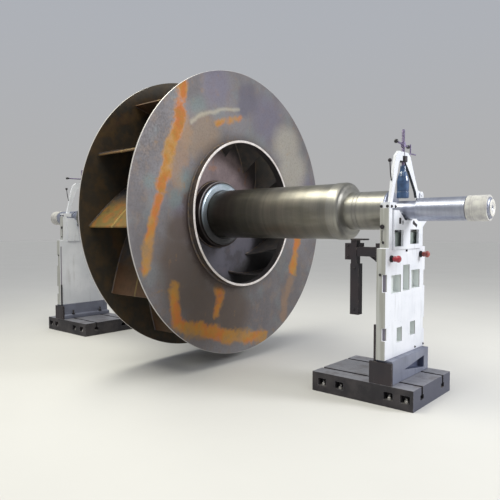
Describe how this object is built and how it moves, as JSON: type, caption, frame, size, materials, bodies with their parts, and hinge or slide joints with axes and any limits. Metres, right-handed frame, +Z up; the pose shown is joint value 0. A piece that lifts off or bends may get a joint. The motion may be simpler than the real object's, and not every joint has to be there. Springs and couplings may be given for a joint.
{
  "type": "fan rotor on balancing stands",
  "caption": "Double-inlet centrifugal fan rotor: an impeller of backward-leaning blades between two rim discs on a stepped shaft, carried by the two roller stands of a balancing machine.",
  "frame": {"origin": "on the floor below the shaft, halfway between the two stands", "axes": "+X along the shaft towards the near stand, +Z up"},
  "size_m": [6.716, 3.15, 3.255],
  "materials": {
    "bare_steel": "weathered, stained",
    "bright_steel": "turned, polished",
    "roller_steel": "ground",
    "sleeve_beige": "matte",
    "column_white": "satin",
    "foot_grey_blue": "satin",
    "holddown_blue": "gloss",
    "knob_red": "gloss",
    "bed_black": "satin"
  },
  "bodies": {
    "stand": {"far_bed": "bed_black", "far_clamp_block": "bed_black", "far_column": "column_white", "far_foot": "foot_grey_blue", "far_knob_left": "knob_red", "far_knob_right": "knob_red", "far_pivot_bracket": "column_white", "far_saddle": "column_white", "near_bed": "bed_black", "near_clamp_block": "bed_black", "near_column": "column_white", "near_foot": "foot_grey_blue", "near_knob_left": "knob_red", "near_knob_right": "knob_red", "near_pivot_bracket": "column_white", "near_saddle": "column_white", "side_arm": "bed_black"},
    "rotor": {"shaft": "bright_steel", "near_end_sleeve": "sleeve_beige", "far_end_sleeve": "sleeve_beige", "hub": "bare_steel", "centre_plate": "bare_steel", "near_disc": "bare_steel", "far_disc": "bare_steel", "near_inlet_ring": "bright_steel", "far_inlet_ring": "bright_steel", "blade_01": "bare_steel", "blade_02": "bare_steel", "blade_03": "bare_steel", "blade_04": "bare_steel", "blade_05": "bare_steel", "blade_06": "bare_steel", "blade_07": "bare_steel", "blade_08": "bare_steel", "blade_09": "bare_steel", "blade_10": "bare_steel", "blade_11": "bare_steel", "blade_12": "bare_steel"},
    "near_roller_left": {"near_roller_left": "roller_steel"},
    "near_roller_right": {"near_roller_right": "roller_steel"},
    "near_holddown": {"near_holddown_frame": "column_white"},
    "near_screw": {"near_pressure_screw": "holddown_blue"},
    "far_roller_left": {"far_roller_left": "roller_steel"},
    "far_roller_right": {"far_roller_right": "roller_steel"},
    "far_holddown": {"far_holddown_frame": "column_white"},
    "far_screw": {"far_pressure_screw": "holddown_blue"}
  },
  "joints": [
    {"name": "rotor_spin", "type": "hinge", "parent": "stand", "child": "rotor", "pos_m": [0, 0, 1.68], "axis": [1, 0, 0], "continuous": true},
    {"name": "near_roller_left_spin", "type": "hinge", "parent": "stand", "child": "near_roller_left", "pos_m": [2.585, -0.11335, 1.56665], "axis": [1, 0, 0], "continuous": true},
    {"name": "near_roller_right_spin", "type": "hinge", "parent": "stand", "child": "near_roller_right", "pos_m": [2.585, 0.11335, 1.56665], "axis": [1, 0, 0], "continuous": true},
    {"name": "near_holddown_swing", "type": "hinge", "parent": "stand", "child": "near_holddown", "pos_m": [2.585, 0.365, 1.826], "axis": [1, 0, 0], "range_deg": [-100, 0]},
    {"name": "near_screw_lift", "type": "slide", "parent": "near_holddown", "child": "near_screw", "axis": [0, 0, 1], "range_m": [0, 0.03]},
    {"name": "far_roller_left_spin", "type": "hinge", "parent": "stand", "child": "far_roller_left", "pos_m": [-2.585, -0.11335, 1.56665], "axis": [1, 0, 0], "continuous": true},
    {"name": "far_roller_right_spin", "type": "hinge", "parent": "stand", "child": "far_roller_right", "pos_m": [-2.585, 0.11335, 1.56665], "axis": [1, 0, 0], "continuous": true},
    {"name": "far_holddown_swing", "type": "hinge", "parent": "stand", "child": "far_holddown", "pos_m": [-2.585, 0.365, 1.826], "axis": [1, 0, 0], "range_deg": [-100, 0]},
    {"name": "far_screw_lift", "type": "slide", "parent": "far_holddown", "child": "far_screw", "axis": [0, 0, 1], "range_m": [0, 0.03]}
  ],
  "couplings": [
    {"joint": "near_roller_left_spin", "follows": "rotor_spin", "ratio": -1},
    {"joint": "near_roller_right_spin", "follows": "rotor_spin", "ratio": -1},
    {"joint": "far_roller_left_spin", "follows": "rotor_spin", "ratio": -1},
    {"joint": "far_roller_right_spin", "follows": "rotor_spin", "ratio": -1}
  ]
}
